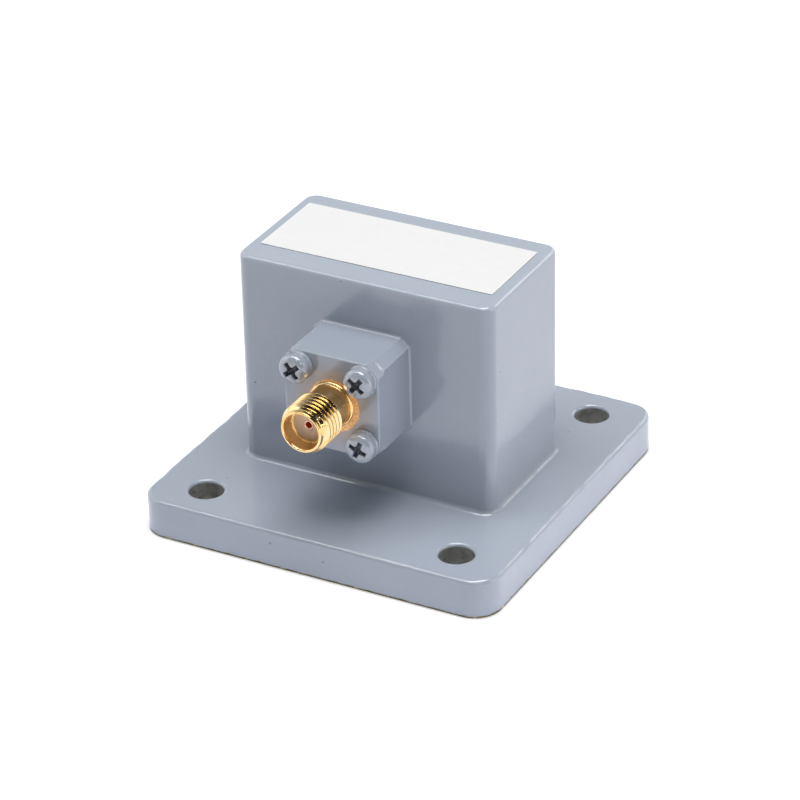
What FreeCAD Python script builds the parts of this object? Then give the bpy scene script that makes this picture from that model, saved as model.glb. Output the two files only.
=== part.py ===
import FreeCAD, Part
import math
import os

# Right-angle adapter between a rectangular waveguide and a coaxial socket.
# Millimetres. X runs along the broad wall, Y along the narrow wall, Z along the guide.
# The origin is the centre of the guide's opening, on the flange's mating face.
# The socket points to -Y.

Vector = FreeCAD.Vector
X_AXIS = Vector(1, 0, 0)
Z_AXIS = Vector(0, 0, 1)
ORIGIN = Vector(0, 0, 0)

# Guide
aperture_broad = 28.5
aperture_narrow = 12.62
aperture_corner_radius = 0.8
side_wall = 2.95
face_wall = 3.1
body_height = 32.95
body_corner_radius = 1.7
body_edge_round = 0.45

# Plate that closes the guide behind the probe
short_thickness = 3.6
short_ledge = 1.2
short_corner_radius = 1.5

# Flange
flange_broad = 47.9
flange_narrow = 47.9
flange_thickness = 5.0
flange_corner_radius = 3.5
flange_edge_break = 0.35
bolt_spacing_broad = 34.34
bolt_spacing_narrow = 37.44
bolt_hole_diameter = 4.3
bolt_hole_chamfer = 0.3

# Block that carries the socket
connector_height = 20.31
boss_width = 12.7
boss_length = 6.12
boss_chamfer = 1.1
boss_edge_break = 0.15

# Socket shell, measured outwards from its mounting plate
plate_thickness = 1.65
plate_chamfer = 1.6
plate_edge_break = 0.15
barrel_length = 7.62
thread_diameter = 6.32
thread_start = 2.95
thread_end = 6.9
thread_chamfer = 0.3
collar_diameter = 5.7
collar_height = 0.2
neck_diameter = 5.4
nose_diameter = 5.4
nose_round = 0.12
socket_depth = 1.95
socket_bore = 4.6
socket_mouth_chamfer = 0.15

# Insulator, contact and probe
dielectric_diameter = 4.1
contact_diameter = 1.27
contact_bore = 0.92
contact_bore_depth = 2.6
contact_slot_width = 0.18
contact_slot_count = 4
probe_diameter = 3.2
probe_gap = 0.5
probe_length = 6.6
probe_tip_chamfer = 0.4
probe_cover = 2.2

# Screws and washers
screw_spacing = 8.64
screw_diameter = 2.0
screw_grip = 6.0
head_diameter = 3.8
head_height = 1.6
head_side_height = 0.75
recess_span = 2.25
recess_arm = 0.62
recess_depth = 0.95
recess_taper = 0.45
recess_turns = {(-1, 1): 38.0, (1, 1): 51.5, (1, -1): 69.0, (-1, -1): 14.0}
plate_hole_diameter = 2.2
tapped_hole_extra = 0.8
washer_diameter = 3.9
washer_bore = 2.1
washer_thickness = 0.5
washer_split = 0.3

# Label on the closed end
label_broad = 31.4
label_narrow = 12.25
label_thickness = 0.12
label_corner_radius = 0.4
label_offset_broad = -0.09
label_offset_narrow = 0.44

# Sizes that follow from the ones above
body_broad = aperture_broad + 2 * side_wall
body_narrow = aperture_narrow + 2 * face_wall
bore_height = body_height - short_thickness
plate_front = boss_length + plate_thickness
barrel_front = plate_front + barrel_length
socket_floor = barrel_front - socket_depth
probe_back = -(face_wall + probe_gap)
probe_end = probe_back - probe_length
screw_places = [(sx * screw_spacing / 2, sz * screw_spacing / 2) for sx, sz in recess_turns]
bolt_places = [
    (sx * bolt_spacing_broad / 2, sy * bolt_spacing_narrow / 2) for sx in (-1, 1) for sy in (-1, 1)
]


def polygon_face(points, height=0.0):
    """A flat face through the points of one closed polygon at a height."""
    corners = [Vector(x, y, height) for x, y in points]
    return Part.Face(Part.makePolygon(corners + corners[:1]))


def rounded_block(broad, narrow, low, high, corner_radius):
    """A rectangular block centred on Z, with rounded upright edges."""
    block = Part.makeBox(broad, narrow, high - low, Vector(-broad / 2, -narrow / 2, low))
    upright = [e for e in block.Edges if abs(e.tangentAt(e.FirstParameter).z) > 0.99]
    return block.makeFillet(corner_radius, upright)


def chamfered_block(width, low, high, chamfer):
    """A square block centred on Z, with 45 degree chamfers on its upright edges."""
    block = Part.makeBox(width, width, high - low, Vector(-width / 2, -width / 2, low))
    upright = [e for e in block.Edges if abs(e.tangentAt(e.FirstParameter).z) > 0.99]
    return block.makeChamfer(chamfer, upright)


def edges_at_height(solid, height, tolerance=1e-4):
    """The edges that lie wholly at one height."""
    return [
        e
        for e in solid.Edges
        if abs(e.BoundBox.ZMin - height) < tolerance and abs(e.BoundBox.ZMax - height) < tolerance
    ]


def rod(diameter, low, high, place=(0, 0)):
    """A cylinder along Z at a place."""
    return Part.makeCylinder(diameter / 2, high - low, Vector(place[0], place[1], low))


def turned(points):
    """A solid turned about Z from (radius, height) points."""
    corners = [Vector(r, 0, z) for r, z in points]
    profile = Part.Face(Part.makePolygon(corners + corners[:1]))
    return profile.revolve(ORIGIN, Z_AXIS, 360)


def on_front_wall(shape):
    """Turns a piece built along Z so that it stands out of the broad wall towards -Y."""
    placed = shape.copy()
    placed.rotate(ORIGIN, X_AXIS, 90)
    placed.translate(Vector(0, -body_narrow / 2, connector_height))
    return placed


def make_waveguide_body():
    """The guide: a thick walled rectangular tube, stepped at the top for the closing plate."""
    body = rounded_block(body_broad, body_narrow, 0, body_height, body_corner_radius)
    body = body.makeFillet(body_edge_round, edges_at_height(body, body_height))
    bore = rounded_block(aperture_broad, aperture_narrow, -1, body_height + 1, aperture_corner_radius)
    seat = rounded_block(
        aperture_broad + 2 * short_ledge,
        aperture_narrow + 2 * short_ledge,
        bore_height,
        body_height + 1,
        short_corner_radius,
    )
    passage = on_front_wall(rod(dielectric_diameter, -face_wall - 1, 1))
    return body.cut(bore.fuse(seat)).cut(passage)


def make_short_plate():
    """The closing plate, flush with the top of the guide."""
    return rounded_block(
        aperture_broad + 2 * short_ledge,
        aperture_narrow + 2 * short_ledge,
        bore_height,
        body_height,
        short_corner_radius,
    )


def make_flange():
    """The bolting plate, with a window that the guide passes through."""
    plate = rounded_block(flange_broad, flange_narrow, 0, flange_thickness, flange_corner_radius)
    plate = plate.makeChamfer(flange_edge_break, edges_at_height(plate, flange_thickness))
    window = rounded_block(body_broad, body_narrow, -1, flange_thickness + 1, body_corner_radius)
    plate = plate.cut(window)
    hole_radius = bolt_hole_diameter / 2
    drill = turned(
        [
            (0, -1),
            (hole_radius, -1),
            (hole_radius, flange_thickness - bolt_hole_chamfer),
            (hole_radius + bolt_hole_chamfer, flange_thickness),
            (hole_radius + bolt_hole_chamfer, flange_thickness + 1),
            (0, flange_thickness + 1),
        ]
    )
    for x, y in bolt_places:
        hole = drill.copy()
        hole.translate(Vector(x, y, 0))
        plate = plate.cut(hole)
    return plate


def make_connector_boss():
    """The square block on the broad wall, with the insulator's passage and four tapped holes."""
    boss = chamfered_block(boss_width, 0, boss_length, boss_chamfer)
    boss = boss.makeChamfer(boss_edge_break, edges_at_height(boss, boss_length))
    boss = boss.cut(rod(dielectric_diameter, -1, boss_length + 1))
    hole_floor = plate_front + washer_thickness - screw_grip - tapped_hole_extra
    for place in screw_places:
        boss = boss.cut(rod(screw_diameter, hole_floor, boss_length + 1, place))
    return on_front_wall(boss)


def make_connector_shell():
    """The socket's mounting plate and barrel, one turned and milled piece."""
    plate = chamfered_block(boss_width, boss_length, plate_front, plate_chamfer)
    plate = plate.makeChamfer(plate_edge_break, edges_at_height(plate, plate_front))
    for place in screw_places:
        plate = plate.cut(rod(plate_hole_diameter, boss_length - 1, plate_front + 1, place))
    thread_radius = thread_diameter / 2
    neck_radius = neck_diameter / 2
    nose_radius = nose_diameter / 2
    barrel = turned(
        [
            (0, boss_length),
            (collar_diameter / 2, boss_length),
            (collar_diameter / 2, plate_front + collar_height),
            (neck_radius, plate_front + collar_height),
            (neck_radius, plate_front + thread_start - thread_chamfer),
            (thread_radius, plate_front + thread_start),
            (thread_radius, plate_front + thread_end - thread_chamfer),
            (nose_radius, plate_front + thread_end),
            (nose_radius, barrel_front - nose_round),
            (nose_radius - nose_round, barrel_front),
            (0, barrel_front),
        ]
    )
    bore_radius = socket_bore / 2
    socket = turned(
        [
            (0, socket_floor),
            (bore_radius, socket_floor),
            (bore_radius, barrel_front - socket_mouth_chamfer),
            (bore_radius + socket_mouth_chamfer, barrel_front),
            (bore_radius + socket_mouth_chamfer, barrel_front + 1),
            (0, barrel_front + 1),
        ]
    )
    passage = rod(dielectric_diameter, boss_length - 1, barrel_front + 1)
    return on_front_wall(plate.fuse(barrel).cut(socket).cut(passage).removeSplitter())


def make_dielectric():
    """The insulating rod, from the socket's floor to the inner face of the broad wall."""
    insulator = rod(dielectric_diameter, -face_wall, socket_floor)
    return on_front_wall(insulator.cut(rod(contact_diameter, -face_wall - 1, socket_floor + 1)))


def make_centre_contact():
    """The slotted spring contact, whose back end is the pin that carries the probe."""
    pin_end = probe_back - probe_cover
    contact = rod(contact_diameter, pin_end, socket_floor)
    contact = contact.cut(rod(contact_bore, socket_floor - contact_bore_depth, socket_floor + 1))
    slot = Part.makeBox(
        contact_diameter,
        contact_slot_width,
        contact_bore_depth,
        Vector(0, -contact_slot_width / 2, socket_floor - contact_bore_depth),
    )
    for index in range(contact_slot_count):
        turned_slot = slot.copy()
        turned_slot.rotate(ORIGIN, Z_AXIS, 45 + index * 360 / contact_slot_count)
        contact = contact.cut(turned_slot)
    return on_front_wall(contact)


def make_probe_tip():
    """The sleeve on the pin's end that stands in the guide as its antenna."""
    probe = rod(probe_diameter, probe_end, probe_back)
    probe = probe.makeChamfer(probe_tip_chamfer, edges_at_height(probe, probe_end))
    return on_front_wall(probe.cut(rod(contact_diameter, probe_back - probe_cover, probe_back + 1)))


def cross_outline(span, arm, height):
    """A face in the shape of a plus sign."""
    s = span / 2
    a = arm / 2
    return polygon_face(
        [(s, -a), (s, a), (a, a), (a, s), (-a, s), (-a, a),
         (-s, a), (-s, -a), (-a, -a), (-a, -s), (a, -s), (a, -a)],
        height,
    )


def make_recess(top):
    """The tapered cross that the driver fits in."""
    mouth = cross_outline(recess_span, recess_arm, top)
    floor = cross_outline(recess_span * recess_taper, recess_arm * recess_taper, top - recess_depth)
    return Part.makeLoft([mouth.OuterWire, floor.OuterWire], True, True)


def make_screw(turn):
    """One pan head screw, head upwards, with its seat under the head at zero height."""
    radius = head_diameter / 2
    dome_height = head_height - head_side_height
    dome_radius = (radius**2 + dome_height**2) / (2 * dome_height)
    half_angle = math.asin(radius / dome_radius) / 2
    dome_centre = head_height - dome_radius
    dome_edge = Vector(radius, 0, head_side_height)
    dome_middle = Vector(
        dome_radius * math.sin(half_angle), 0, dome_centre + dome_radius * math.cos(half_angle)
    )
    crown = Vector(0, 0, head_height)
    shank_radius = screw_diameter / 2
    outer = [
        Vector(0, 0, -screw_grip),
        Vector(shank_radius, 0, -screw_grip),
        Vector(shank_radius, 0, 0),
        Vector(radius, 0, 0),
        dome_edge,
    ]
    edges = [Part.LineSegment(a, b).toShape() for a, b in zip(outer, outer[1:])]
    edges.append(Part.Arc(dome_edge, dome_middle, crown).toShape())
    edges.append(Part.LineSegment(crown, outer[0]).toShape())
    screw = Part.Face(Part.Wire(edges)).revolve(ORIGIN, Z_AXIS, 360)
    screw = screw.cut(make_recess(head_height))
    screw.rotate(ORIGIN, Z_AXIS, turn)
    return screw


def make_connector_screws():
    """Four like screws that hold the socket's plate to its block."""
    screws = []
    for (sx, sz), turn in recess_turns.items():
        screw = make_screw(turn)
        seat = plate_front + washer_thickness
        screw.translate(Vector(sx * screw_spacing / 2, sz * screw_spacing / 2, seat))
        screws.append(on_front_wall(screw))
    return Part.makeCompound(screws)


def make_spring_washers():
    """Four split washers, pressed flat under the screw heads."""
    washers = []
    for (sx, sz), turn in recess_turns.items():
        ring = rod(washer_diameter, 0, washer_thickness).cut(rod(washer_bore, -1, washer_thickness + 1))
        split = Part.makeBox(
            washer_diameter, washer_split, washer_thickness + 2, Vector(0, -washer_split / 2, -1)
        )
        ring = ring.cut(split)
        ring.rotate(ORIGIN, Z_AXIS, turn * 3)
        ring.translate(Vector(sx * screw_spacing / 2, sz * screw_spacing / 2, plate_front))
        washers.append(on_front_wall(ring))
    return Part.makeCompound(washers)


def make_label():
    """A blank adhesive label on the closed end."""
    label = rounded_block(
        label_broad, label_narrow, body_height, body_height + label_thickness, label_corner_radius
    )
    label.translate(Vector(label_offset_broad, label_offset_narrow, 0))
    return label


def main():
    nodes = {
        "waveguide_body": make_waveguide_body(),
        "short_plate": make_short_plate(),
        "flange": make_flange(),
        "connector_boss": make_connector_boss(),
        "connector_shell": make_connector_shell(),
        "dielectric": make_dielectric(),
        "centre_contact": make_centre_contact(),
        "probe_tip": make_probe_tip(),
        "connector_screws": make_connector_screws(),
        "spring_washers": make_spring_washers(),
        "label": make_label(),
    }
    os.makedirs("parts", exist_ok=True)
    for name, shape in nodes.items():
        shape.exportStep("parts/" + name + ".step")
        print(name, "solids", len(shape.Solids), "valid", shape.isValid(), "volume", round(shape.Volume, 2))


main()
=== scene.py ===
import math
import random

import bmesh
import bpy
from mathutils import Matrix, Vector
from mathutils.geometry import tessellate_polygon


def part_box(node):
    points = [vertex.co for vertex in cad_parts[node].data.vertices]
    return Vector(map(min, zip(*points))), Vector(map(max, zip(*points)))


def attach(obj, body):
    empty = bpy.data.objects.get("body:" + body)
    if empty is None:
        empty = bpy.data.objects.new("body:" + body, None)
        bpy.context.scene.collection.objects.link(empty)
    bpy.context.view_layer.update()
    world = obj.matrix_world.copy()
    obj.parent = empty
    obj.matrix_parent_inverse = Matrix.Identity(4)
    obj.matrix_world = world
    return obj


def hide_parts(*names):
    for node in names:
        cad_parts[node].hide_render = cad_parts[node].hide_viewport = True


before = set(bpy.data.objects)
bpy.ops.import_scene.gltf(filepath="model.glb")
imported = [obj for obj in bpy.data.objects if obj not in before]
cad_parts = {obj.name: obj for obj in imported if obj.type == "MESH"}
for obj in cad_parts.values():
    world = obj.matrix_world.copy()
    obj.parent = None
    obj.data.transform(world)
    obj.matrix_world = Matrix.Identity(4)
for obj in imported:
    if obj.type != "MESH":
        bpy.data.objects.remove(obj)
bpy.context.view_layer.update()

# Lengths are in metres. Small sizes are written in millimetres times MM.
MM = 0.001

# Camera, as solved from the photograph's straight edges and flange holes
CAMERA_AZIMUTH = math.radians(28.511)
CAMERA_ELEVATION = math.radians(29.119)
CAMERA_ROLL = math.radians(-1.322)
CAMERA_DISTANCE = 463.532 * MM
CAMERA_SHIFT_RIGHT = -0.3547 * MM
CAMERA_SHIFT_UP = 10.6861 * MM
FOCAL_PIXELS = 3713.6
IMAGE_PIXELS = 800
SENSOR_MM = 36.0
CAMERA_NEAR = 0.01
CAMERA_FAR = 10.0

# Guide block: sizes that the solids' boxes don't give. The paint over the closing plate is PAINT_FILM thick
BODY_CORNER = 1.7 * MM
BODY_EDGE = 0.55 * MM
BODY_EDGE_STEPS = 8
BODY_FOOT_EDGE = 0.06 * MM
APERTURE = (28.5 * MM, 12.62 * MM)
APERTURE_CORNER = 0.8 * MM
APERTURE_EDGE = 0.1 * MM
SEAT_LEDGE = 1.2 * MM
SEAT_CORNER = 1.5 * MM
PAINT_FILM = 0.03 * MM

# Flange: faces lower than AT_MATING_FACE are left bare
FLANGE_CORNER = 3.5 * MM
FLANGE_EDGE = 0.6 * MM
FLANGE_EDGE_STEPS = 7
LOWER_EDGE = 0.08 * MM
FOOT_FILLET = 0.55 * MM
BOLT_SPACING = (34.34 * MM, 37.44 * MM)
BOLT_RADIUS = 2.15 * MM
BOLT_LIP = 0.42 * MM
AT_MATING_FACE = 0.02 * MM

# Block on the front wall, and the socket's mounting plate on it. The block's root is sunk into the wall
BOSS_CHAMFER = 1.1 * MM
BOSS_FILLET = 0.30 * MM
BOSS_SINK = -0.05 * MM
BOSS_EDGE_STEPS = 6
PLATE_CHAMFER = 1.6 * MM
PLATE_THICKNESS = 1.65 * MM
PLATE_EDGE = 0.2 * MM
PLATE_EDGE_STEPS = 6
CHAMFER_ROUND = 0.15 * MM

# Label
LABEL_CORNER = 0.15 * MM
LABEL_EDGE = 0.02 * MM

# Mesh: steps of rounds, how close two points are one, how near a limit a face lies on it, and the angles
# in degrees from which an edge is drawn sharp, on flat and on turned pieces
CORNER_STEPS = 8
CHAMFER_STEPS = 3
CIRCLE_SEGMENTS = 64
WELD = 1e-8
TOUCH = 1e-6
SHARP_ANGLE = 35.0
SHARP_ANGLE_TURNED = 50.0

# Where the block's chamfer runs over into the plate's wider one: further cut, and height over the joint.
# These rings are BLEND_INSET narrower, so that they lie just inside the plate's sides
BLEND_STEPS = (
    (0.0, -0.12 * MM), (0.05 * MM, -0.02 * MM), (0.16 * MM, 0.05 * MM),
    (0.36 * MM, 0.17 * MM), (0.46 * MM, 0.24 * MM), (0.50 * MM, 0.34 * MM),
)
BLEND_INSET = 0.004 * MM

# Hand finished edges: how many waves run round an edge, and how much its width drifts
SIDE_POINTS = 60
HAND_WAVES = (7, 13, 22, 37, 61)
FLANGE_DRIFT = 0.36
FOOT_DRIFT = 0.16
FLANGE_SEED = 11
FOOT_SEED = 5

# Screws and washers. SCREW_TURNS has each screw's corner, as signs in the socket's own frame, and by how
# many degrees its recess is turned
SCREW_SPACING = 8.64 * MM
SCREW_LENGTH = 6.0 * MM
SCREW_TURNS = {(-1, 1): 38.0, (1, 1): 51.5, (1, -1): 69.0, (-1, -1): 14.0}
SHANK_RADIUS = 1.0 * MM
HEAD_RADIUS = 1.9 * MM
HEAD_SIDE = 0.75 * MM
HEAD_HEIGHT = 1.6 * MM
HEAD_FOOT = 0.08 * MM
HEAD_RINGS = 28
DOME_POWER = 2.3
RECESS_SPAN = 2.35 * MM
RECESS_ARM = 0.64 * MM
RECESS_CORNER = 0.30 * MM
RECESS_TIP = 0.08 * MM
RECESS_LIP = 0.09 * MM
RECESS_DEPTH = 0.80 * MM
RECESS_POINT = 0.15 * MM
RECESS_RISE = 0.25
# Rings down the recess: share of its depth, and how far the wall has come in
RECESS_WALL = ((1.0, 0.16 * MM), (0.28, 0.03 * MM), (0.10, 0.0))
# Rings over its lip: share of the lip's width, and how far it lies under the dome
RECESS_ROLL = ((0.45, 0.030 * MM), (0.85, 0.008 * MM))
WASHER_HEIGHT = 0.5 * MM
WASHER_BORE = 1.05 * MM
WASHER_RADIUS = 1.95 * MM
WASHER_EDGE = 0.12 * MM
WASHER_GAP = math.radians(9)
WASHER_STEPS = 80

# Outline of the barrel before and after its thread, in millimetres out of the plate and of radius
BARREL_PROFILE = (
    (-1.5, 2.95), (0.16, 2.95), (0.21, 2.90), (0.24, 2.80), (0.28, 2.72), (0.34, 2.70), (2.75, 2.70),
    (2.85, 2.705),
)
NOSE_PROFILE = (
    (6.98, 2.70), (7.39, 2.70), (7.50, 2.69), (7.57, 2.655), (7.61, 2.60), (7.62, 2.52), (7.62, 2.46),
    (7.59, 2.40), (7.53, 2.355), (7.42, 2.31), (7.27, 2.30), (5.73, 2.30), (5.69, 2.28), (5.67, 2.24),
    (5.67, 2.05), (5.40, 2.05), (-1.5, 2.05),
)
BARREL_SEGMENTS = 128

# The helical thread, which rises and fades over a short stretch at each end
THREAD_PITCH = 25.4 / 36 * MM
THREAD_DEPTH = 0.40 * MM
THREAD_MAJOR = 3.16 * MM
THREAD_CORE = 2.71 * MM
THREAD_START = 2.90 * MM
THREAD_FULL = 3.25 * MM
THREAD_FADE = 6.55 * MM
THREAD_STOP = 6.96 * MM
THREAD_ROOT_SHARE = 0.04
THREAD_FLANK_SHARE = 0.74
THREAD_PHASE = 0.446
THREAD_ROWS = 264

# Insulator and contact
INSULATOR_BORE = 0.635 * MM
INSULATOR_PLAY = 0.012 * MM
INSULATOR_EDGE = 0.05 * MM
CONTACT_RADIUS = 0.61 * MM
CONTACT_BORE = 0.42 * MM
CONTACT_BORE_DEPTH = 2.6 * MM
CONTACT_EDGE = 0.07 * MM
CONTACT_SLIT = 0.06 * MM
CONTACT_STEPS = 16

# The uneven ring on the plate where the masked gold shows, and the warm reflection of the gold barrel painted
# on the paint round it
RING_OFFSET = (0.30 * MM, -0.15 * MM)
RING_RADIUS = 3.42 * MM
GOLD_REFLECTION_REACH = 2.6 * MM
GOLD_REFLECTION_SHARE = 0.55

# Colours and gloss
PAINT = (0.375, 0.420, 0.495)
PAINT_LIGHT = (0.400, 0.445, 0.520)
PAINT_DARK = (0.340, 0.383, 0.455)
# Warm tint painted on the grey paint round the ring, as a reflection of the gold barrel
GOLD_REFLECTION_TINT = (0.50, 0.35, 0.24)
PAINT_SPECULAR = 0.1
PAINT_GLOSS = 0.15
PAINT_IOR = 1.8
SCREW_GLOSS = 0.08
SCREW_IOR = 2.15
# Painted shade and light on the guide block: its paint is a darker copy, and its top is painted paler as
# light from above, starting a little under the top
BODY_PAINTED_SHADE_TONE = 0.955
BODY_TOP_PAINTED_LIGHT = 1.16
PAINTED_TOP_LIGHT_FROM = 0.1 * MM
# Painted light: the flange's paint is a paler copy
FLANGE_PAINTED_LIGHT_TONE = 1.05
SCREW_TONE = 0.96
CHROMATE = (0.62, 0.52, 0.26)
CHROMATE_GREEN = (0.46, 0.50, 0.28)
BARE_EDGE = (0.12, 0.105, 0.035)
# The bare edge's yellow glints are painted highlights
BARE_EDGE_PAINTED_GLINT = (0.75, 0.52, 0.10)
MASKED_GOLD = ((0.72, 0.36, 0.12), (1.0, 0.66, 0.34))
GOLD = ((0.85, 0.57, 0.225), (0.93, 0.70, 0.38))
CONTACT_GOLD = ((0.80, 0.52, 0.38), (0.92, 0.68, 0.54))
SPECK = (0.16, 0.17, 0.19)
# The insulator is white; a peach tint is painted into it as light bounced off the gold socket
INSULATOR_GOLD_BOUNCE = ((0.84, 0.62, 0.47), (0.94, 0.73, 0.57))
LABEL_WHITE = ((0.86, 0.86, 0.862), (0.875, 0.875, 0.877))
# The label's sides are coloured dark as painted shade
LABEL_SIDE_PAINTED_SHADE = ((0.16, 0.15, 0.15), (0.24, 0.23, 0.22))
# Painted shade: the deep part of each screw's cross recess is coloured dark
RECESS_PAINTED_SHADE = ((0.075, 0.085, 0.105), (0.16, 0.175, 0.205))
# Painted shade and bounce light: the contact's bore is coloured red in place of its gold
BORE_PAINTED_BOUNCE = ((0.70, 0.05, 0.02), (0.85, 0.10, 0.05))
HOLE_BARE = ((0.205, 0.215, 0.188), (0.375, 0.370, 0.345))

# Gloss, as roughness: from the smoothest to the roughest place, or round a middle value
PAINT_ROUGHNESS = (0.36, 0.46)
CHROMATE_ROUGHNESS = (0.28, 0.42)
GOLD_ROUGHNESS = 0.15
CONTACT_ROUGHNESS = 0.30
INSULATOR_ROUGHNESS = 0.42
LABEL_ROUGHNESS = 0.34
LABEL_SIDE_ROUGHNESS = 0.5
RECESS_ROUGHNESS = 0.25
BORE_ROUGHNESS = 0.4
HOLE_ROUGHNESS = 0.30
FLOOR_ROUGHNESS = 0.9

# Where the paint stops: from bare to painted over the mating face, and round the masked ring from its
# inner to its outer side, and how far each edge is frayed
PAINT_STOP = (0.20 * MM, 0.32 * MM)
PAINT_STOP_RAGGED = 0.10 * MM
RING_FADE = (0.12 * MM, 0.10 * MM)
RING_RAGGED = 0.16 * MM

# Clouds and grain in the surfaces: how many lumps there are to the metre
PAINT_DRIFT = 55.0
PAINT_GRAIN = 2600.0
GLOSS_PATCHES = 240.0
PEEL = 900.0
FINE_PEEL = 5200.0
NIBS = 330.0
NIB_PATCHES = 160.0
MASKED_GRAIN = 4200.0
RING_FRAY = 2600.0
PAINT_STOP_FRAY = 700.0
# Painted highlights on the flange's bare edge
PAINTED_GLINTS = 420.0
CHROMATE_CLOUDS = 130.0
CHROMATE_WEAR = 700.0
GOLD_DRIFT = 420.0
GOLD_WEAR = 1500.0
PLAIN_MOTTLE = 900.0
HOLE_MOTTLE = 600.0

# Fine forms in the surfaces: heights, and how many marks there are to the metre along X, Y and Z
MILLING_MARKS = (60.0, 9000.0, 9000.0)
MILLING_HEIGHT = 0.000008
TURNING_MARKS = (300.0, 26000.0, 300.0)
TURNING_HEIGHT = 0.000004
PEEL_HEIGHT = 0.00003
FINE_HEIGHT = 0.000006
NIB_HEIGHT = 0.00006
SPECK_HEIGHT = 0.00012
GRAIN_HEIGHT = 0.00005
PLAIN_HEIGHT = 0.00001
LABEL_HEIGHT = 0.000004
SUBSURFACE_DEPTH = 0.0006

# Grains of dust under the paint: place and radius in millimetres
PAINT_SPECKS = (
    (17.2, -6.81, 23.69, 0.16),
    (-15.16, -9.41, 15.81, 0.22),
    (-5.32, -23.95, 3.25, 0.2),
    (1.93, -23.95, 2.6, 0.2),
    (-2.62, -9.41, 32.53, 0.18),
    (16.48, 13.25, 5.0, 0.2),
    (-16.24, -15.29, 5.0, 0.16),
)

# Studio: the floor, what is mirrored above it, and where the lamps point
FLOOR_SIZE = 3.0
FLOOR_DROP = 0.0001
FLOOR_COLOUR = (0.86, 0.87, 0.95)
FLOOR_GLOW = 0.35
GLOW_NEAR = 0.09
GLOW_FAR = 0.40
SKY_LIGHT = 0.065
BACKDROP_LOW = 0.36
BACKDROP_RISE = 0.60
BACKDROP_LEAN = 0.50
BACKDROP_SOFTNESS = 5.0
BACKDROP_LEVEL = 0.42
GLOSSY_SKY = 0.5
LEFT_WALL_SLOPE = -4.0
LEFT_WALL_START = 2.0
LAMP_AIM = (0.0, 0.0, 0.015)

# Lamps: name, place, width and height, and power in watts
LAMPS = (
    ("top_softbox", (0.03, -0.03, 0.60), (0.4, 0.4), 3.0),
    ("left_top_softbox", (-0.25, -0.12, 0.53), (0.18, 0.20), 0.40),
    ("left_softbox", (-0.60, -0.25, 0.30), (0.4, 0.4), 0.36),
    ("right_softbox", (0.60, 0.10, 0.20), (0.4, 0.4), 0.98),
    ("front_window", (0.40, -0.44, 0.37), (0.05, 0.05), 0.20),
    ("front_top_window", (0.02, -0.50, 0.48), (0.03, 0.03), 0.05),
    ("right_low_window", (0.52, -0.47, 0.085), (0.03, 0.05), 0.06),
    ("back_right_window", (0.34, 0.54, 0.30), (0.06, 0.06), 0.20),
    ("back_softbox", (0.10, 0.62, 0.26), (0.3, 0.3), 0.40),
)


def corners_of(node):
    """The lowest and highest corner of a solid's box, and the box's size."""
    low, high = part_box(node)
    return low, high, high - low


body_low, body_high, body_size = corners_of("waveguide_body")
_, flange_high, flange_size = corners_of("flange")
boss_low, boss_high, boss_size = corners_of("connector_boss")
_, _, shell_size = corners_of("connector_shell")
short_low, short_high, _ = corners_of("short_plate")
label_low, label_high, label_size = corners_of("label")
insulator_low, insulator_high, insulator_size = corners_of("dielectric")
contact_low, contact_high, _ = corners_of("centre_contact")
socket_height = (boss_low.z + boss_high.z) / 2
front_wall = body_low.y

# The socket's own frame: X stays, Y is up, Z points out of the front wall
SOCKET_FRAME = Matrix(((1, 0, 0, 0), (0, 0, -1, front_wall), (0, 1, 0, socket_height), (0, 0, 0, 1)))
boss_length = front_wall - boss_low.y
plate_front = boss_length + PLATE_THICKNESS
socket_floor = front_wall - insulator_low.y
head_seat = plate_front + WASHER_HEIGHT
ring_across = RING_OFFSET[0]
ring_up = socket_height + RING_OFFSET[1]


# Mesh helpers

def quarter_round(steps):
    """Steps along a quarter circle: how far it has come in, and how far it still has to rise."""
    for step in range(steps + 1):
        angle = math.pi / 2 * step / steps
        yield 1 - math.cos(angle), 1 - math.sin(angle)


def rounded_loop(broad, narrow, radius, height, centre=(0.0, 0.0), side_points=0):
    """Points of a rounded rectangle, anticlockwise seen from above, with more points along its sides."""
    points = []
    for corner, (sx, sy) in enumerate(((1, 1), (-1, 1), (-1, -1), (1, -1))):
        for step in range(CORNER_STEPS + 1):
            angle = math.radians(90 * corner + 90 * step / CORNER_STEPS)
            x = centre[0] + sx * (broad / 2 - radius) + radius * math.cos(angle)
            y = centre[1] + sy * (narrow / 2 - radius) + radius * math.sin(angle)
            points.append(Vector((x, y, height)))
    if not side_points:
        return points
    filled = []
    for index, point in enumerate(points):
        filled.append(point)
        if index % (CORNER_STEPS + 1) == CORNER_STEPS:
            after = points[(index + 1) % len(points)]
            filled += [point.lerp(after, k / (side_points + 1)) for k in range(1, side_points + 1)]
    return filled


def arc(cx, cy, radius, degrees):
    """Points of an arc in a plane, at the given angles."""
    turns = [math.radians(angle) for angle in degrees]
    return [(cx + radius * math.cos(a), cy + radius * math.sin(a)) for a in turns]


def circle_loop(radius, height, centre=(0.0, 0.0), segments=CIRCLE_SEGMENTS):
    """Points of a circle, anticlockwise seen from above."""
    turn = 2 * math.pi / segments
    return [
        Vector((centre[0] + radius * math.cos(turn * k), centre[1] + radius * math.sin(turn * k), height))
        for k in range(segments)
    ]


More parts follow.
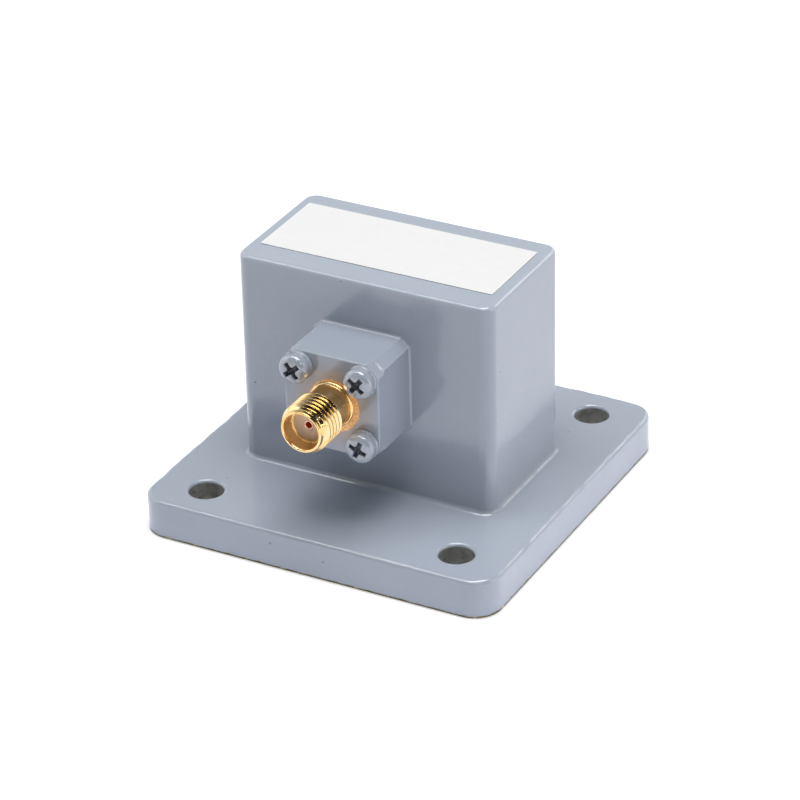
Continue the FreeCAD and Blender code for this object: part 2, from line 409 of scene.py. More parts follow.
def chamfered_loop(width, chamfer, height, inset=0.0):
    """A chamfered square with soft corners, moved in by a distance all round."""
    h = width / 2 - inset
    k = h - chamfer + (2 - math.sqrt(2)) * inset
    corners = [(h, -k), (h, k), (k, h), (-k, h), (-h, k), (-h, -k), (-k, -h), (k, -h)]
    reach = CHAMFER_ROUND * math.tan(math.radians(22.5))
    points = []
    for index, corner in enumerate(corners):
        here = Vector(corner)
        before = (Vector(corners[index - 1]) - here).normalized()
        after = (Vector(corners[(index + 1) % 8]) - here).normalized()
        start = here + before * reach
        end = here + after * reach
        for step in range(CHAMFER_STEPS + 1):
            t = step / CHAMFER_STEPS
            x, y = start * (1 - t) ** 2 + here * 2 * t * (1 - t) + end * t ** 2
            points.append(Vector((x, y, height)))
    return points


def add_loops(bm, loops, close_start=True, close_end=True):
    """Skins a chain of loops with the same number of points, and returns their vertices."""
    rows = [[bm.verts.new(p) for p in loop] for loop in loops]
    count = len(rows[0])
    for low, high in zip(rows, rows[1:]):
        for k in range(count):
            n = (k + 1) % count
            bm.faces.new((low[k], low[n], high[n], high[k]))
    if close_start:
        bm.faces.new(list(reversed(rows[0])))
    if close_end:
        bm.faces.new(rows[-1])
    return rows


def add_sheet_with_holes(bm, outer, holes):
    """Fills a flat outline that has holes, all given as rows of existing vertices."""
    rows = [outer] + holes
    flat = [v for row in rows for v in row]
    for triangle in tessellate_polygon([[v.co for v in row] for row in rows]):
        bm.faces.new([flat[i] for i in triangle])


def hand_finish(count, share, seed):
    """How much wider or narrower a hand sanded edge is at each point round a loop."""
    draw = random.Random(seed)
    waves = [(turns, draw.uniform(0, 2 * math.pi), draw.uniform(0.4, 1.0)) for turns in HAND_WAVES]
    total = sum(height for _, _, height in waves)
    return [
        1 + share * sum(h * math.sin(2 * math.pi * t * k / count + p) for t, p, h in waves) / total
        for k in range(count)
    ]


def uneven_edge(broad, narrow, corner, edge, level, steps, share, seed, inward=True):
    """Loops round an upper edge or a foot that was finished by hand, so its width drifts."""
    sign = 1 if inward else -1
    reach = sign * edge
    wall = rounded_loop(broad, narrow, corner, level, side_points=SIDE_POINTS)
    full = rounded_loop(broad - 2 * reach, narrow - 2 * reach, corner - reach, level, side_points=SIDE_POINTS)
    widths = hand_finish(len(wall), share, seed)
    loops = []
    for inward_share, drop_share in quarter_round(steps):
        loop = []
        for here, there, width in zip(wall, full, widths):
            point = here.lerp(there, width * inward_share)
            point.z = level - sign * edge * width * drop_share
            loop.append(point)
        loops.append(loop)
    return loops


def finish_mesh(name, bm, materials, replaces, matrix=None, sharp_angle=SHARP_ANGLE):
    """Turns a mesh under work into a smooth shaded piece that rides with the adapter."""
    if matrix is not None:
        bmesh.ops.transform(bm, matrix=matrix, verts=bm.verts)
    bmesh.ops.recalc_face_normals(bm, faces=bm.faces)
    limit = math.radians(sharp_angle)
    for edge in bm.edges:
        edge.smooth = edge.calc_face_angle(0.0) < limit
    for face in bm.faces:
        face.smooth = True
    mesh = bpy.data.meshes.new(name)
    bm.to_mesh(mesh)
    bm.free()
    piece = bpy.data.objects.new(name, mesh)
    bpy.context.scene.collection.objects.link(piece)
    for material in materials:
        mesh.materials.append(material)
    weighted = piece.modifiers.new("flat_faces_stay_flat", "WEIGHTED_NORMAL")
    weighted.keep_sharp = True
    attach(piece, "root")
    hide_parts(replaces)
    return piece


# Material helpers

class NodeTree:
    """A small wrapper that keeps node code short. A socket or a plain number can be given as a value."""

    def __init__(self, tree):
        self.nodes = tree.nodes
        self.links = tree.links

    def new(self, kind, **settings):
        """A new node with its settings."""
        node = self.nodes.new(kind)
        for key, value in settings.items():
            setattr(node, key, value)
        return node

    def join(self, a, b):
        """Links an output to an input."""
        self.links.new(a, b)

    def math(self, operation, a, b=None, clamp=False):
        """One sum on one or two values."""
        node = self.new("ShaderNodeMath", operation=operation, use_clamp=clamp)
        for socket, value in zip(node.inputs, (a, b)):
            if value is None:
                continue
            if isinstance(value, (int, float)):
                socket.default_value = value
            else:
                self.join(value, socket)
        return node.outputs[0]

    def ramp(self, value, low, high, out_low=0.0, out_high=1.0, smooth=True):
        """Carries a value from one range over to another, and holds it at both ends."""
        node = self.new("ShaderNodeMapRange")
        node.interpolation_type = "SMOOTHSTEP" if smooth else "LINEAR"
        self.join(value, node.inputs["Value"])
        for key, number in (("From Min", low), ("From Max", high), ("To Min", out_low), ("To Max", out_high)):
            node.inputs[key].default_value = number
        return node.outputs["Result"]

    def split(self, vector):
        """The X, Y and Z of a vector."""
        node = self.new("ShaderNodeSeparateXYZ")
        self.join(vector, node.inputs[0])
        return node.outputs


class Shader(NodeTree):
    """A material's nodes, with places taken in the object's own frame."""

    INPUTS = {
        "colour": "Base Color", "metallic": "Metallic", "roughness": "Roughness",
        "specular": "Specular IOR Level", "glow_colour": "Emission Color",
        "coat": "Coat Weight", "coat_roughness": "Coat Roughness", "coat_ior": "Coat IOR",
        "subsurface": "Subsurface Weight", "subsurface_scale": "Subsurface Scale",
    }

    def __init__(self, name):
        self.material = bpy.data.materials.new(name)
        self.material.use_nodes = True
        super().__init__(self.material.node_tree)
        self.bsdf = self.nodes["Principled BSDF"]
        self.place = self.new("ShaderNodeTexCoord").outputs["Object"]

    def set(self, **values):
        """Plain numbers for the surface."""
        for key, value in values.items():
            self.bsdf.inputs[self.INPUTS[key]].default_value = value

    def feed(self, name, value):
        """Drives one of the surface's inputs with a node's output."""
        self.join(value, self.bsdf.inputs[name])

    def noise(self, scale, detail=2.0, roughness=0.5, vector=None):
        """Soft noise, with as many lumps to the metre as its scale says."""
        node = self.new("ShaderNodeTexNoise")
        node.inputs["Scale"].default_value = scale
        node.inputs["Detail"].default_value = detail
        node.inputs["Roughness"].default_value = roughness
        self.join(vector or self.place, node.inputs["Vector"])
        return node.outputs["Fac"]

    def stretched_noise(self, scale, detail):
        """Noise drawn out along one direction, for the marks that a tool leaves."""
        stretch = self.new("ShaderNodeMapping")
        stretch.inputs["Scale"].default_value = scale
        self.join(self.place, stretch.inputs["Vector"])
        return self.noise(1.0, detail, vector=stretch.outputs[0])

    def ragged(self, scale, roughness, reach):
        """A distance to and fro, which frays the edge of the paint."""
        return self.ramp(self.noise(scale, 3.0, roughness), 0.25, 0.75, -reach, reach, smooth=False)

    def mix(self, factor, a, b):
        """A colour between two colours."""
        node = self.new("ShaderNodeMix", data_type="RGBA")
        self.join(factor, node.inputs["Factor"])
        colour_inputs = [s for s in node.inputs if s.type == "RGBA"]
        for socket, value in zip(colour_inputs, (a, b)):
            if isinstance(value, (tuple, list)):
                socket.default_value = (*value, 1.0)
            else:
                self.join(value, socket)
        return [s for s in node.outputs if s.type == "RGBA"][0]

    def bump(self, height, distance, strength=1.0, normal=None):
        """A normal that follows a height, laid over another normal if one is given."""
        node = self.new("ShaderNodeBump")
        node.inputs["Distance"].default_value = distance
        node.inputs["Strength"].default_value = strength
        self.join(height, node.inputs["Height"])
        if normal is not None:
            self.join(normal, node.inputs["Normal"])
        return node.outputs["Normal"]


def paint_specks(shader):
    """A few grains of dust that the paint caught, 1 at their middle."""
    total = None
    for x, y, z, size in PAINT_SPECKS:
        offset = shader.new("ShaderNodeVectorMath", operation="DISTANCE")
        shader.join(shader.place, offset.inputs[0])
        offset.inputs[1].default_value = (x * MM, y * MM, z * MM)
        speck = shader.ramp(offset.outputs["Value"], 0.0, size * MM, 1.0, 0.0)
        total = speck if total is None else shader.math("MAXIMUM", total, speck)
    return total


def paint_colour(shader, tone_level=1.0):
    """Slow drift of tone, and a fine grain, in the sprayed paint."""
    shades = (PAINT, PAINT_LIGHT, PAINT_DARK)
    plain, light, dark = [tuple(part * tone_level for part in shade) for shade in shades]
    drift = shader.ramp(shader.noise(PAINT_DRIFT, 2.0), 0.3, 0.7)
    grain = shader.ramp(shader.noise(PAINT_GRAIN, 3.0, 0.6), 0.35, 0.65)
    tone = shader.mix(drift, plain, light)
    faint = shader.math("MULTIPLY", grain, 0.22)
    tone = shader.mix(faint, tone, dark)
    return shader.mix(shader.math("MULTIPLY", paint_specks(shader), 0.6), tone, SPECK)


def paint_surface(shader):
    """Orange peel and dust nibs as a normal, and an uneven satin gloss as a roughness."""
    peel = shader.noise(PEEL, 2.0, 0.45)
    fine = shader.noise(FINE_PEEL, 2.0, 0.5)
    nibs = shader.new("ShaderNodeTexVoronoi")
    nibs.inputs["Scale"].default_value = NIBS
    shader.join(shader.place, nibs.inputs["Vector"])
    nib = shader.ramp(nibs.outputs["Distance"], 0.0, 0.045, 1.0, 0.0)
    sparse = shader.ramp(shader.noise(NIB_PATCHES, 1.0), 0.60, 0.66)
    nib = shader.math("MULTIPLY", nib, sparse)
    normal = shader.bump(peel, PEEL_HEIGHT, 0.55)
    normal = shader.bump(fine, FINE_HEIGHT, 0.5, normal)
    normal = shader.bump(nib, NIB_HEIGHT, 0.8, normal)
    normal = shader.bump(paint_specks(shader), SPECK_HEIGHT, 0.9, normal)
    roughness = shader.ramp(shader.noise(GLOSS_PATCHES, 3.0), 0.3, 0.7, *PAINT_ROUGHNESS)
    return normal, roughness


def finish_paint(shader, colour, normal, roughness):
    """Feeds one painted surface, whose clear top layer follows the same bumps."""
    shader.feed("Base Color", colour)
    shader.feed("Roughness", roughness)
    shader.feed("Normal", normal)
    shader.feed("Coat Normal", normal)
    return shader.material


def make_paint(name, tone_level=1.0, gloss=PAINT_GLOSS, ior=PAINT_IOR):
    """Plain sprayed paint."""
    shader = Shader(name)
    shader.set(specular=PAINT_SPECULAR, coat=1.0, coat_roughness=gloss, coat_ior=ior)
    return finish_paint(shader, paint_colour(shader, tone_level), *paint_surface(shader))


def make_body_paint(name):
    """The same paint, with light painted on the closed end, whose top is coloured paler than the sides."""
    shader = Shader(name)
    shader.set(specular=PAINT_SPECULAR, coat=1.0, coat_roughness=PAINT_GLOSS, coat_ior=PAINT_IOR)
    height = shader.split(shader.place)["Z"]
    painted_top_light = shader.ramp(height, body_high.z - BODY_EDGE, body_high.z - PAINTED_TOP_LIGHT_FROM)
    # Painted light: the top is coloured paler than the sides
    colour = shader.mix(painted_top_light, paint_colour(shader, BODY_PAINTED_SHADE_TONE), paint_colour(shader, BODY_TOP_PAINTED_LIGHT))
    return finish_paint(shader, colour, *paint_surface(shader))


def make_chromate(name):
    """Thin yellow conversion coating on bare aluminium, with faint milling marks."""
    shader = Shader(name)
    shader.set(metallic=1.0)
    cloud = shader.ramp(shader.noise(CHROMATE_CLOUDS, 3.0), 0.35, 0.65)
    shader.feed("Base Color", shader.mix(cloud, CHROMATE, CHROMATE_GREEN))
    shader.feed("Roughness", shader.ramp(shader.noise(CHROMATE_WEAR, 2.0), 0.3, 0.7, *CHROMATE_ROUGHNESS))
    milling = shader.stretched_noise(MILLING_MARKS, 2.0)
    shader.feed("Normal", shader.bump(milling, MILLING_HEIGHT, 0.5))
    return shader.material


def make_gold(name, roughness, deep, pale):
    """Gold plating over turned metal."""
    shader = Shader(name)
    shader.set(metallic=1.0)
    drift = shader.ramp(shader.noise(GOLD_DRIFT, 2.0), 0.35, 0.65)
    shader.feed("Base Color", shader.mix(drift, deep, pale))
    worn = shader.ramp(shader.noise(GOLD_WEAR, 2.0), 0.3, 0.7, roughness - 0.04, roughness + 0.05)
    shader.feed("Roughness", worn)
    turning = shader.stretched_noise(TURNING_MARKS, 1.0)
    shader.feed("Normal", shader.bump(turning, TURNING_HEIGHT, 0.35))
    return shader.material


def make_shell_material(name):
    """Paint on the mounting plate that stops at an uneven masked ring, with rough gold inside it, and a warm
    reflection of the gold barrel painted on the paint round it.
    """
    shader = Shader(name)
    shader.set(specular=PAINT_SPECULAR, coat_roughness=PAINT_GLOSS, coat_ior=PAINT_IOR)
    out = shader.split(shader.place)
    across = shader.math("SUBTRACT", out["X"], ring_across)
    up = shader.math("SUBTRACT", out["Z"], ring_up)
    square = shader.math("ADD", shader.math("MULTIPLY", across, across), shader.math("MULTIPLY", up, up))
    distance = shader.math("SQRT", square)
    edge = shader.math("ADD", distance, shader.ragged(RING_FRAY, 0.7, RING_RAGGED))
    painted = shader.ramp(edge, RING_RADIUS - RING_FADE[0], RING_RADIUS + RING_FADE[1])
    normal, roughness = paint_surface(shader)
    grains = shader.ramp(shader.noise(MASKED_GRAIN, 3.0, 0.7), 0.3, 0.7)
    bare_gold = shader.mix(grains, *MASKED_GOLD)
    # A warm tint painted round the ring, as the gold barrel's reflection in the paint
    thin = shader.ramp(edge, RING_RADIUS, RING_RADIUS + GOLD_REFLECTION_REACH, GOLD_REFLECTION_SHARE, 0.0)
    covered = shader.mix(thin, paint_colour(shader), GOLD_REFLECTION_TINT)
    bare = shader.math("SUBTRACT", 1.0, painted)
    shader.feed("Metallic", bare)
    shader.feed("Coat Weight", painted)
    roughness = shader.math("ADD", roughness, shader.math("MULTIPLY", bare, 0.05))
    normal = shader.bump(shader.math("MULTIPLY", grains, bare), GRAIN_HEIGHT, 0.8, normal)
    return finish_paint(shader, shader.mix(painted, bare_gold, covered), normal, roughness)


def make_flange_paint(name):
    """Paint in a paler copy, as painted light, that stops just short of the mating face, where the bare
    metal's edge shows with yellow glints as painted highlights.
    """
    shader = Shader(name)
    shader.set(specular=PAINT_SPECULAR, coat_roughness=PAINT_GLOSS, coat_ior=PAINT_IOR)
    height = shader.split(shader.place)["Z"]
    ragged = shader.ragged(PAINT_STOP_FRAY, 0.6, PAINT_STOP_RAGGED)
    painted = shader.ramp(shader.math("ADD", height, ragged), *PAINT_STOP)
    # Painted highlights: yellow glints on the bare edge
    painted_glint = shader.ramp(shader.noise(PAINTED_GLINTS, 3.0, 0.7), 0.57, 0.67)
    edge = shader.mix(painted_glint, BARE_EDGE, BARE_EDGE_PAINTED_GLINT)
    shader.feed("Coat Weight", painted)
    # The paint here is a paler copy, as painted light
    colour = shader.mix(painted, edge, paint_colour(shader, FLANGE_PAINTED_LIGHT_TONE))
    return finish_paint(shader, colour, *paint_surface(shader))


def make_plain(name, roughness, low, high, scale=PLAIN_MOTTLE, bump=PLAIN_HEIGHT, subsurface=0.0):
    """A lightly mottled surface with a fine grain, and some light under its skin if it is asked for."""
    shader = Shader(name)
    if subsurface:
        shader.set(subsurface=subsurface, subsurface_scale=SUBSURFACE_DEPTH)
    mottle = shader.ramp(shader.noise(scale, 3.0), 0.3, 0.7)
    shader.feed("Base Color", shader.mix(mottle, low, high))
    worn = shader.ramp(shader.noise(scale * 2, 2.0), 0.3, 0.7, roughness - 0.04, roughness + 0.04)
    shader.feed("Roughness", worn)
    shader.feed("Normal", shader.bump(shader.noise(scale * 6, 2.0), bump, 0.5))
    return shader.material


paint = make_paint("grey_paint")
body_paint = make_body_paint("grey_paint_on_body")
screw_paint = make_paint("grey_paint_on_screws", SCREW_TONE, SCREW_GLOSS, SCREW_IOR)
flange_paint = make_flange_paint("grey_paint_on_flange")
shell_paint = make_shell_material("grey_paint_on_gold")
chromate = make_chromate("bare_chromated_metal")
gold = make_gold("gold_plating", GOLD_ROUGHNESS, *GOLD)
contact_gold = make_gold("contact_gold", CONTACT_ROUGHNESS, *CONTACT_GOLD)
# Peach tint painted in as light bounced off the gold socket
insulator_painted_gold_bounce = make_plain("insulator_painted_gold_bounce", INSULATOR_ROUGHNESS, *INSULATOR_GOLD_BOUNCE, subsurface=0.15)
label_white = make_plain("label_white", LABEL_ROUGHNESS, *LABEL_WHITE, bump=LABEL_HEIGHT)
label_side_painted_shade = make_plain("label_side_painted_shade", LABEL_SIDE_ROUGHNESS, *LABEL_SIDE_PAINTED_SHADE)
recess_painted_shade = make_plain("recess_painted_shade", RECESS_ROUGHNESS, *RECESS_PAINTED_SHADE)
bore_painted_bounce = make_plain("contact_bore_painted_bounce", BORE_ROUGHNESS, *BORE_PAINTED_BOUNCE)
hole_bare = make_plain("bolt_hole_bare", HOLE_ROUGHNESS, *HOLE_BARE, scale=HOLE_MOTTLE)


# Pieces

def make_body():
    """Painted guide with its soft edges, closed at the top by the paint over the closing plate."""
    broad, narrow = body_size.x, body_size.y
    top = body_high.z + PAINT_FILM
    seat = (APERTURE[0] + 2 * SEAT_LEDGE, APERTURE[1] + 2 * SEAT_LEDGE)
    mouth = (APERTURE[0] + 2 * APERTURE_EDGE, APERTURE[1] + 2 * APERTURE_EDGE)
    foot = (broad - 2 * BODY_FOOT_EDGE, narrow - 2 * BODY_FOOT_EDGE)
    loops = [
        rounded_loop(*seat, SEAT_CORNER, short_high.z),
        rounded_loop(*seat, SEAT_CORNER, short_low.z),
        rounded_loop(*APERTURE, APERTURE_CORNER, short_low.z),
        rounded_loop(*APERTURE, APERTURE_CORNER, APERTURE_EDGE),
        rounded_loop(*mouth, APERTURE_CORNER + APERTURE_EDGE, 0.0),
        rounded_loop(*foot, BODY_CORNER - BODY_FOOT_EDGE, 0.0),
        rounded_loop(broad, narrow, BODY_CORNER, BODY_FOOT_EDGE),
    ]
    for inward, drop in quarter_round(BODY_EDGE_STEPS):
        inset = BODY_EDGE * inward
        size = (broad - 2 * inset, narrow - 2 * inset)
        loops.append(rounded_loop(*size, BODY_CORNER - inset, top - BODY_EDGE * drop))
    bm = bmesh.new()
    add_loops(bm, loops)
    for face in bm.faces:
        centre = face.calc_center_median()
        inside = abs(centre.x) < seat[0] / 2 + TOUCH and abs(centre.y) < seat[1] / 2 + TOUCH
        if centre.z < AT_MATING_FACE or (inside and centre.z < top - TOUCH):
            face.material_index = 1
    return finish_mesh("waveguide_body_painted", bm, [body_paint, chromate],
                       replaces="waveguide_body")


def make_flange():
    """Bolting plate with soft edges, rounded hole lips and the fillet at the guide's foot."""
    broad, narrow, top = flange_size.x, flange_size.y, flange_high.z
    steps = FLANGE_EDGE_STEPS
    bm = bmesh.new()

    under = (broad - 2 * LOWER_EDGE, narrow - 2 * LOWER_EDGE)
    outer = [
        rounded_loop(*under, FLANGE_CORNER - LOWER_EDGE, 0.0, side_points=SIDE_POINTS),
        rounded_loop(broad, narrow, FLANGE_CORNER, LOWER_EDGE, side_points=SIDE_POINTS),
    ]
    outer += uneven_edge(broad, narrow, FLANGE_CORNER, FLANGE_EDGE, top, steps, FLANGE_DRIFT, FLANGE_SEED)
    outer_rows = add_loops(bm, outer, close_start=False, close_end=False)

    body = (body_size.x, body_size.y)
    opening = (body[0] + 2 * LOWER_EDGE, body[1] + 2 * LOWER_EDGE)
    window = [
        rounded_loop(*opening, BODY_CORNER + LOWER_EDGE, 0.0, side_points=SIDE_POINTS),
        rounded_loop(*body, BODY_CORNER, LOWER_EDGE, side_points=SIDE_POINTS),
    ]
    window += uneven_edge(*body, BODY_CORNER, FOOT_FILLET, top, steps, FOOT_DRIFT, FOOT_SEED, inward=False)
    window_rows = add_loops(bm, window, close_start=False, close_end=False)

    bottom_holes = [window_rows[0]]
    top_holes = [window_rows[-1]]
    for sx in (-1, 1):
        for sy in (-1, 1):
            centre = (sx * BOLT_SPACING[0] / 2, sy * BOLT_SPACING[1] / 2)
            hole = [
                circle_loop(BOLT_RADIUS + LOWER_EDGE, 0.0, centre),
                circle_loop(BOLT_RADIUS, LOWER_EDGE, centre),
            ]
            for inward, drop in quarter_round(steps):
                hole.append(circle_loop(BOLT_RADIUS + BOLT_LIP * inward, top - BOLT_LIP * drop, centre))
            first_face = len(bm.faces)
            rows = add_loops(bm, hole, close_start=False, close_end=False)
            bm.faces.ensure_lookup_table()
            for face in bm.faces[first_face:first_face + 2 * len(rows[0])]:
                face.material_index = 2
            bottom_holes.append(rows[0])
            top_holes.append(rows[-1])
    add_sheet_with_holes(bm, outer_rows[-1], top_holes)
    add_sheet_with_holes(bm, outer_rows[0], bottom_holes)
    for face in bm.faces:
        if face.calc_center_median().z < AT_MATING_FACE:
            face.material_index = 1
    return finish_mesh("flange_painted", bm, [flange_paint, chromate, hole_bare],
                       replaces="flange")


def make_boss():
    """The square block on the front wall, with a thin fillet of paint at its root."""
    width = boss_size.x
    loops = [chamfered_loop(width, BOSS_CHAMFER, BOSS_SINK, -BOSS_FILLET)]
    for rise, spread in quarter_round(BOSS_EDGE_STEPS):
        loops.append(chamfered_loop(width, BOSS_CHAMFER, BOSS_FILLET * rise, -BOSS_FILLET * spread))
    for further, over in BLEND_STEPS:
        side = width - BLEND_INSET * (over > 0)
        loops.append(chamfered_loop(side, BOSS_CHAMFER + further, boss_length + over))
    bm = bmesh.new()
    add_loops(bm, loops)
    return finish_mesh("connector_boss_painted", bm, [paint], matrix=SOCKET_FRAME,
                       replaces="connector_boss")


def thread_radius(station, angle):
    """Radius of the helical thread at a distance out of the plate and an angle round it."""
    phase = (station / THREAD_PITCH - angle / (2 * math.pi) + THREAD_PHASE) % 1.0
    ridge = abs(2 * phase - 1)
    crest = min(max((ridge - THREAD_ROOT_SHARE) / THREAD_FLANK_SHARE, 0.0), 1.0)
    radius = THREAD_MAJOR - THREAD_DEPTH * (1 - crest)
    rise = min(max((station - THREAD_START) / (THREAD_FULL - THREAD_START), 0.0), 1.0)
    fall = min(max((THREAD_STOP - station) / (THREAD_STOP - THREAD_FADE), 0.0), 1.0)
    limit = THREAD_CORE + (THREAD_MAJOR - THREAD_CORE) * min(rise, fall)
    return min(radius, limit)


def barrel_loops(profile):
    """Circles for a stretch of the barrel's outline."""
    return [circle_loop(r * MM, plate_front + s * MM, segments=BARREL_SEGMENTS) for s, r in profile]


def make_shell():
    """The mounting plate and the barrel with its helical thread, one piece."""
    bm = bmesh.new()
    loops = barrel_loops(BARREL_PROFILE)
    turn = 2 * math.pi / BARREL_SEGMENTS
    for row in range(THREAD_ROWS + 1):
        station = THREAD_START + (THREAD_STOP - THREAD_START) * row / THREAD_ROWS
        loop = []
        for k in range(BARREL_SEGMENTS):
            angle = turn * k
            radius = thread_radius(station, angle)
            loop.append(Vector((radius * math.cos(angle), radius * math.sin(angle), plate_front + station)))
        loops.append(loop)
    loops += barrel_loops(NOSE_PROFILE)
    loops.append(loops[0])
    add_loops(bm, loops, close_start=False, close_end=False)
    bmesh.ops.remove_doubles(bm, verts=bm.verts, dist=WELD)
    for face in bm.faces:
        face.material_index = 1
    width = shell_size.x
    plate = [chamfered_loop(width, PLATE_CHAMFER, boss_length)]
    for inward, drop in quarter_round(PLATE_EDGE_STEPS):
        height = plate_front - PLATE_EDGE * drop
        plate.append(chamfered_loop(width, PLATE_CHAMFER, height, PLATE_EDGE * inward))
    add_loops(bm, plate)
    return finish_mesh("connector_shell_gold", bm, [shell_paint, gold], matrix=SOCKET_FRAME,
                       sharp_angle=SHARP_ANGLE_TURNED, replaces="connector_shell")


def make_insulator():
    """The turned insulator, with a soft edge and a bore for the contact."""
    radius = insulator_size.x / 2
    back = front_wall - insulator_high.y - INSULATOR_PLAY
    soft = INSULATOR_EDGE
    profile = (
        (INSULATOR_BORE, back), (radius - soft, back), (radius, back + soft),
        (radius, socket_floor - soft), (radius - 0.3 * soft, socket_floor - 0.3 * soft),
        (radius - soft, socket_floor), (INSULATOR_BORE + soft, socket_floor),
        (INSULATOR_BORE, socket_floor - soft),
    )
    bm = bmesh.new()
    loops = [circle_loop(r, s) for r, s in profile]
    loops.append(loops[0])
    add_loops(bm, loops, close_start=False, close_end=False)
    bmesh.ops.remove_doubles(bm, verts=bm.verts, dist=WELD)
    return finish_mesh("insulator_turned", bm, [insulator_painted_gold_bounce], matrix=SOCKET_FRAME,
                       replaces="dielectric")


def cross_outline(inset=0.0):
    """Points of a cross with rounded inner corners, anticlockwise; each is in sight of the centre."""
    half = RECESS_SPAN / 2 - inset
    arm = RECESS_ARM / 2 - inset
    corner = RECESS_CORNER
    tip = RECESS_TIP
    quarter = [(half, -arm + tip + (2 * arm - 2 * tip) * step / 4) for step in range(4)]
    quarter += arc(half - tip, arm - tip, tip, (0, 30, 60, 90))
    quarter += [(half - tip + (arm + corner - half + tip) * step / 7, arm) for step in range(1, 7)]
    quarter += arc(arm + corner, arm + corner, corner, (270, 247.5, 225, 202.5, 180))
    quarter += [(arm, arm + corner + (half - tip - arm - corner) * step / 7) for step in range(1, 7)]
    quarter += arc(arm - tip, half - tip, tip, (0, 30, 60))
    points = []
    for c, s in ((1, 0), (0, 1), (-1, 0), (0, -1)):
        points += [Vector((c * x - s * y, s * x + c * y, 0.0)) for x, y in quarter]
    return points


def dome_height(radius):
    """Height of the domed head over its seat; flat in the middle, with a tight round shoulder."""
    share = min(radius / HEAD_RADIUS, 1.0)
    return HEAD_SIDE + (HEAD_HEIGHT - HEAD_SIDE) * (1 - share**DOME_POWER) ** (1 / DOME_POWER)


def add_screw(bm, turn, centre):
    """One painted pan head screw with its cross recess and its shank; the recess's deep wall and floor are
    coloured dark as painted shade.
    """
    spin = Matrix.Rotation(math.radians(turn), 4, "Z")
    spin = Matrix.Translation(Vector((centre[0], centre[1], head_seat))) @ spin
    rings = []
    for share, inset in RECESS_WALL:
        ring = cross_outline(inset)
        for p in ring:
            sink = RECESS_DEPTH * share * (1 - RECESS_RISE * p.length / RECESS_SPAN)
            p.z = dome_height(p.length) - sink
        rings.append(ring)
    for share, sink in RECESS_ROLL:
        ring = cross_outline(-RECESS_LIP * share)
        for p in ring:
            p.z = dome_height(p.length) - sink
        rings.append(ring)
    lip = cross_outline(-RECESS_LIP)
    directions = [p.normalized() for p in lip]
    for ring in range(HEAD_RINGS + 1):
        share = math.sin(math.pi / 2 * ring / HEAD_RINGS)
        radii = [p.length + (HEAD_RADIUS - p.length) * share for p in lip]
        rings.append([Vector((d.x * r, d.y * r, dome_height(r))) for d, r in zip(directions, radii)])
    for radius, height in ((HEAD_RADIUS, HEAD_FOOT), (HEAD_RADIUS - HEAD_FOOT, 0.0),
                           (SHANK_RADIUS, 0.0), (SHANK_RADIUS, -SCREW_LENGTH)):
        rings.append([d * radius + Vector((0, 0, height)) for d in directions])
    rings = [[spin @ p for p in loop] for loop in rings]
    count = len(rings[0])
    first_face = len(bm.faces)
    rows = add_loops(bm, rings, close_start=False)
    bottom = bm.verts.new(spin @ Vector((0, 0, HEAD_HEIGHT - RECESS_DEPTH - RECESS_POINT)))
    for k in range(count):
        bm.faces.new((bottom, rows[0][(k + 1) % count], rows[0][k]))
    # Painted shade: the recess's deepest wall and its floor take the dark colour
    bm.faces.ensure_lookup_table()
    for face in bm.faces[first_face:first_face + count]:
        face.material_index = 1
    for face in bm.faces[-count:]:
        face.material_index = 1


def make_screws():
    """The four screws, one near each corner of the mounting plate."""
    bm = bmesh.new()
    for (sx, sz), turn in SCREW_TURNS.items():
        add_screw(bm, turn, (sx * SCREW_SPACING / 2, sz * SCREW_SPACING / 2))
    return finish_mesh("connector_screws_painted", bm, [screw_paint, recess_painted_shade], matrix=SOCKET_FRAME,
                       sharp_angle=SHARP_ANGLE_TURNED, replaces="connector_screws")


def make_washers():
    """Split washers with rounded edges, under the screw heads."""
    bm = bmesh.new()
    inner = WASHER_BORE + WASHER_EDGE
    outer = WASHER_RADIUS - WASHER_EDGE
    top = WASHER_HEIGHT - WASHER_EDGE
    low = WASHER_EDGE
    section = []
    for cx, cz, start in ((outer, top, 0), (inner, top, 90), (inner, low, 180), (outer, low, 270)):
        section += arc(cx, cz, WASHER_EDGE, (start, start + 30, start + 60, start + 90))
    for (sx, sz), turn in SCREW_TURNS.items():
        x, z = sx * SCREW_SPACING / 2, sz * SCREW_SPACING / 2
        start = math.radians(turn * 3) + WASHER_GAP / 2
        loops = []
        for step in range(WASHER_STEPS + 1):
            angle = start + (2 * math.pi - WASHER_GAP) * step / WASHER_STEPS
            c, s = math.cos(angle), math.sin(angle)
            loops.append([Vector((x + r * c, z + r * s, plate_front + h)) for r, h in section])
        add_loops(bm, loops)
    return finish_mesh("spring_washers_painted", bm, [screw_paint], matrix=SOCKET_FRAME,
                       replaces="spring_washers")


def make_label():
    """The blank label, a thin film with soft corners, whose sides are coloured dark as painted shade."""
    centre = ((label_low.x + label_high.x) / 2, (label_low.y + label_high.y) / 2)
    broad, narrow = label_size.x, label_size.y
    face_size = (broad - 2 * LABEL_EDGE, narrow - 2 * LABEL_EDGE)
    side_top = label_high.z - LABEL_EDGE
    loops = [
        rounded_loop(broad, narrow, LABEL_CORNER, label_low.z, centre),
        rounded_loop(broad, narrow, LABEL_CORNER, side_top, centre),
        rounded_loop(*face_size, LABEL_CORNER - LABEL_EDGE, label_high.z, centre),
    ]
    bm = bmesh.new()
    add_loops(bm, loops)
    for face in bm.faces:
        if face.calc_center_median().z < side_top:
            face.material_index = 1
    return finish_mesh("label_film", bm, [label_white, label_side_painted_shade], replaces="label")


